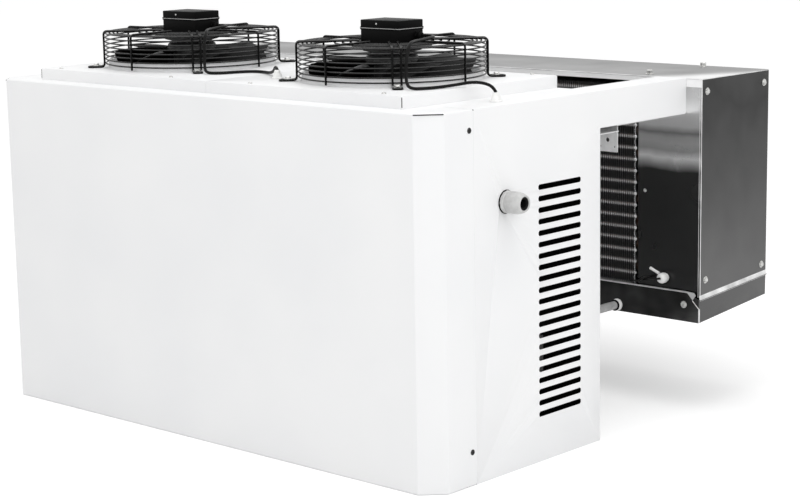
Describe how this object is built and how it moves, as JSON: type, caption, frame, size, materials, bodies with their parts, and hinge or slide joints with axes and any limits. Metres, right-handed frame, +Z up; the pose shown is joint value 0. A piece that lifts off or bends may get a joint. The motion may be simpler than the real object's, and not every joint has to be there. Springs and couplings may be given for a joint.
{
  "type": "monoblock refrigeration unit",
  "caption": "Saddle-type monoblock cold-room cooler: a white condensing housing with roof fans, joined by two arms over the wall to a stainless evaporator box with a drip tray.",
  "frame": {"origin": "centre of the condensing housing's bottom face", "axes": "+X to the right seen from the front, +Y to the back towards the cold room, +Z up"},
  "size_m": [1.3625, 0.9758, 0.764],
  "materials": {
    "white_paint": "fine satin powder coat",
    "black_wire": "gloss black coat on steel wire",
    "motor_grey": "dark cast motor, satin",
    "fan_black": "satin black coat on pressed steel blades",
    "box_black": "fine grained black plastic",
    "cable_black": "smooth black cable sheath",
    "grommet_white": "soft white plastic",
    "zinc": "bright zinc plate",
    "dark_screw": "black oxide",
    "gland_white": "light grey moulded polyamide",
    "seal_black": "matt black rubber",
    "stainless": "fine brushed stainless sheet",
    "galvanised": "galvanised sheet",
    "compressor_black": "black enamel",
    "fin_aluminium": "mill finish fins",
    "fin_dark": "dark coated fins",
    "copper": "drawn copper tube",
    "pipe_foam": "closed-cell pipe insulation",
    "drain_grey": "grey plastic tube",
    "nut_white": "white moulded plastic"
  },
  "bodies": {
    "unit": {"front_cover": "white_paint", "side_panel_right": "white_paint", "side_panel_left": "white_paint", "rear_panel": "white_paint", "top_panel": "white_paint", "fan_deck_right": "white_paint", "fan_deck_left": "white_paint", "fan_guard_right": "black_wire", "room_fan_guard_right": "black_wire", "fan_motor_right": "motor_grey", "room_fan_motor_right": "motor_grey", "terminal_box_right": "box_black", "fan_cable_right": "cable_black", "evaporator_end_right": "stainless", "fan_guard_left": "black_wire", "room_fan_guard_left": "black_wire", "fan_motor_left": "motor_grey", "room_fan_motor_left": "motor_grey", "terminal_box_left": "box_black", "fan_cable_left": "cable_black", "evaporator_end_left": "stainless", "evaporator_top": "stainless", "evaporator_front": "stainless", "evaporator_rear": "stainless", "drip_tray": "stainless", "base_pan": "galvanised", "condenser_end_plates": "galvanised", "evaporator_end_plates": "galvanised", "arm_rail_right": "galvanised", "arm_rail_left": "galvanised", "wall_tabs": "galvanised", "terminal_lids": "box_black", "cable_grommets": "grommet_white", "guard_screws": "zinc", "deck_screws": "zinc", "evaporator_screws": "zinc", "cover_screws": "dark_screw", "gland_body": "gland_white", "gland_nut": "gland_white", "sealing_rings": "seal_black", "compressor": "compressor_black", "compressor_feet": "seal_black", "condenser_fins": "fin_aluminium", "evaporator_fins": "fin_dark", "condenser_tubes": "copper", "evaporator_tubes": "copper", "discharge_pipe": "copper", "liquid_line": "copper", "filter_drier": "copper", "suction_line": "pipe_foam", "liquid_receiver": "compressor_black", "electrical_box": "white_paint", "drain_tube": "drain_grey", "drain_nut": "nut_white", "sensor_gland": "nut_white", "sensor_lead": "cable_black"},
    "fan_right": {"fan_impeller_right": "fan_black"},
    "room_fan_right": {"room_fan_impeller_right": "fan_black"},
    "fan_left": {"fan_impeller_left": "fan_black"},
    "room_fan_left": {"room_fan_impeller_left": "fan_black"}
  },
  "joints": [
    {"name": "fan_spin_right", "type": "hinge", "parent": "unit", "child": "fan_right", "pos_m": [0.265, 0.021, 0.69], "axis": [0, 0, 1], "continuous": true},
    {"name": "room_fan_spin_right", "type": "hinge", "parent": "unit", "child": "room_fan_right", "pos_m": [0.235, 0.7, 0.4355], "axis": [0, 1, 0], "continuous": true},
    {"name": "fan_spin_left", "type": "hinge", "parent": "unit", "child": "fan_left", "pos_m": [-0.265, 0.021, 0.69], "axis": [0, 0, 1], "continuous": true},
    {"name": "room_fan_spin_left", "type": "hinge", "parent": "unit", "child": "room_fan_left", "pos_m": [-0.235, 0.7, 0.4355], "axis": [0, 1, 0], "continuous": true}
  ]
}
